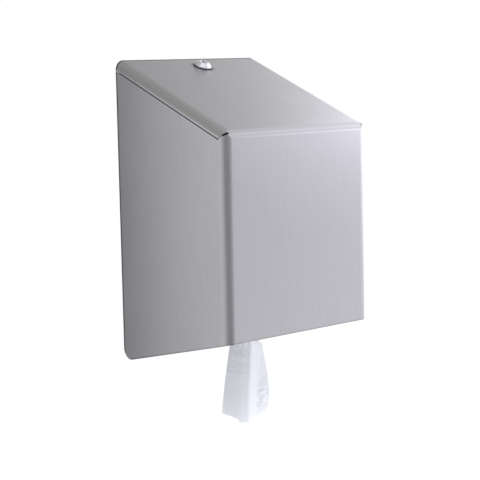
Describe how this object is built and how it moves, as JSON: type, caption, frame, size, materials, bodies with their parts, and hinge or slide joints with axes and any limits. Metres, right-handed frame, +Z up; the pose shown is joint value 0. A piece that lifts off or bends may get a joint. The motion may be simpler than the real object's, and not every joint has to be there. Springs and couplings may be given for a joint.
{
  "type": "centre-pull paper roll dispenser",
  "caption": "Wall-hung brushed stainless dispenser for a centre-pull paper roll, with a keyed, hinged sloping cover and paper hanging from a nozzle.",
  "frame": {"origin": "centre of the four wall holes, on the back plate's wall face", "axes": "+Z up, +Y into the wall, so the front faces -Y, +X to the right seen from the front"},
  "size_m": [0.24, 0.213, 0.4801],
  "materials": {
    "brushed_cover": "fine upright grain, satin",
    "inner_steel": "plain mill sheet",
    "fastener_steel": "zinc plated",
    "lock_chrome": "polished chrome",
    "white_plastic": "moulded, satin",
    "nylon": "natural nylon",
    "black_rubber": "matt rubber",
    "tissue": "soft embossed tissue"
  },
  "bodies": {
    "wall_unit": {"back_plate": "inner_steel", "shelf": "inner_steel", "shelf_rivets": "fastener_steel", "nozzle": "white_plastic", "nozzle_ring": "white_plastic", "lock_catch": "fastener_steel", "catch_rivets": "fastener_steel", "rubber_buffers": "black_rubber", "hinge_bushes": "nylon", "paper_roll": "tissue", "paper_tail": "tissue"},
    "cover_unit": {"cover": "brushed_cover", "hinge_studs": "fastener_steel", "stud_clips": "fastener_steel", "lock_body": "lock_chrome", "lock_washer": "fastener_steel", "lock_nut": "fastener_steel"},
    "lock_barrel": {"lock_plug": "lock_chrome", "lock_cam": "fastener_steel", "cam_washer": "fastener_steel", "cam_screw": "fastener_steel"}
  },
  "joints": [
    {"name": "cover_hinge", "type": "hinge", "parent": "wall_unit", "child": "cover_unit", "pos_m": [0, -0.015, -0.17823], "axis": [1, 0, 0], "range_deg": [0, 100]},
    {"name": "lock_turn", "type": "hinge", "parent": "cover_unit", "child": "lock_barrel", "pos_m": [0.003, -0.027, 0.18545], "axis": [0, -0.3759, 0.9267], "range_deg": [0, 90]}
  ]
}
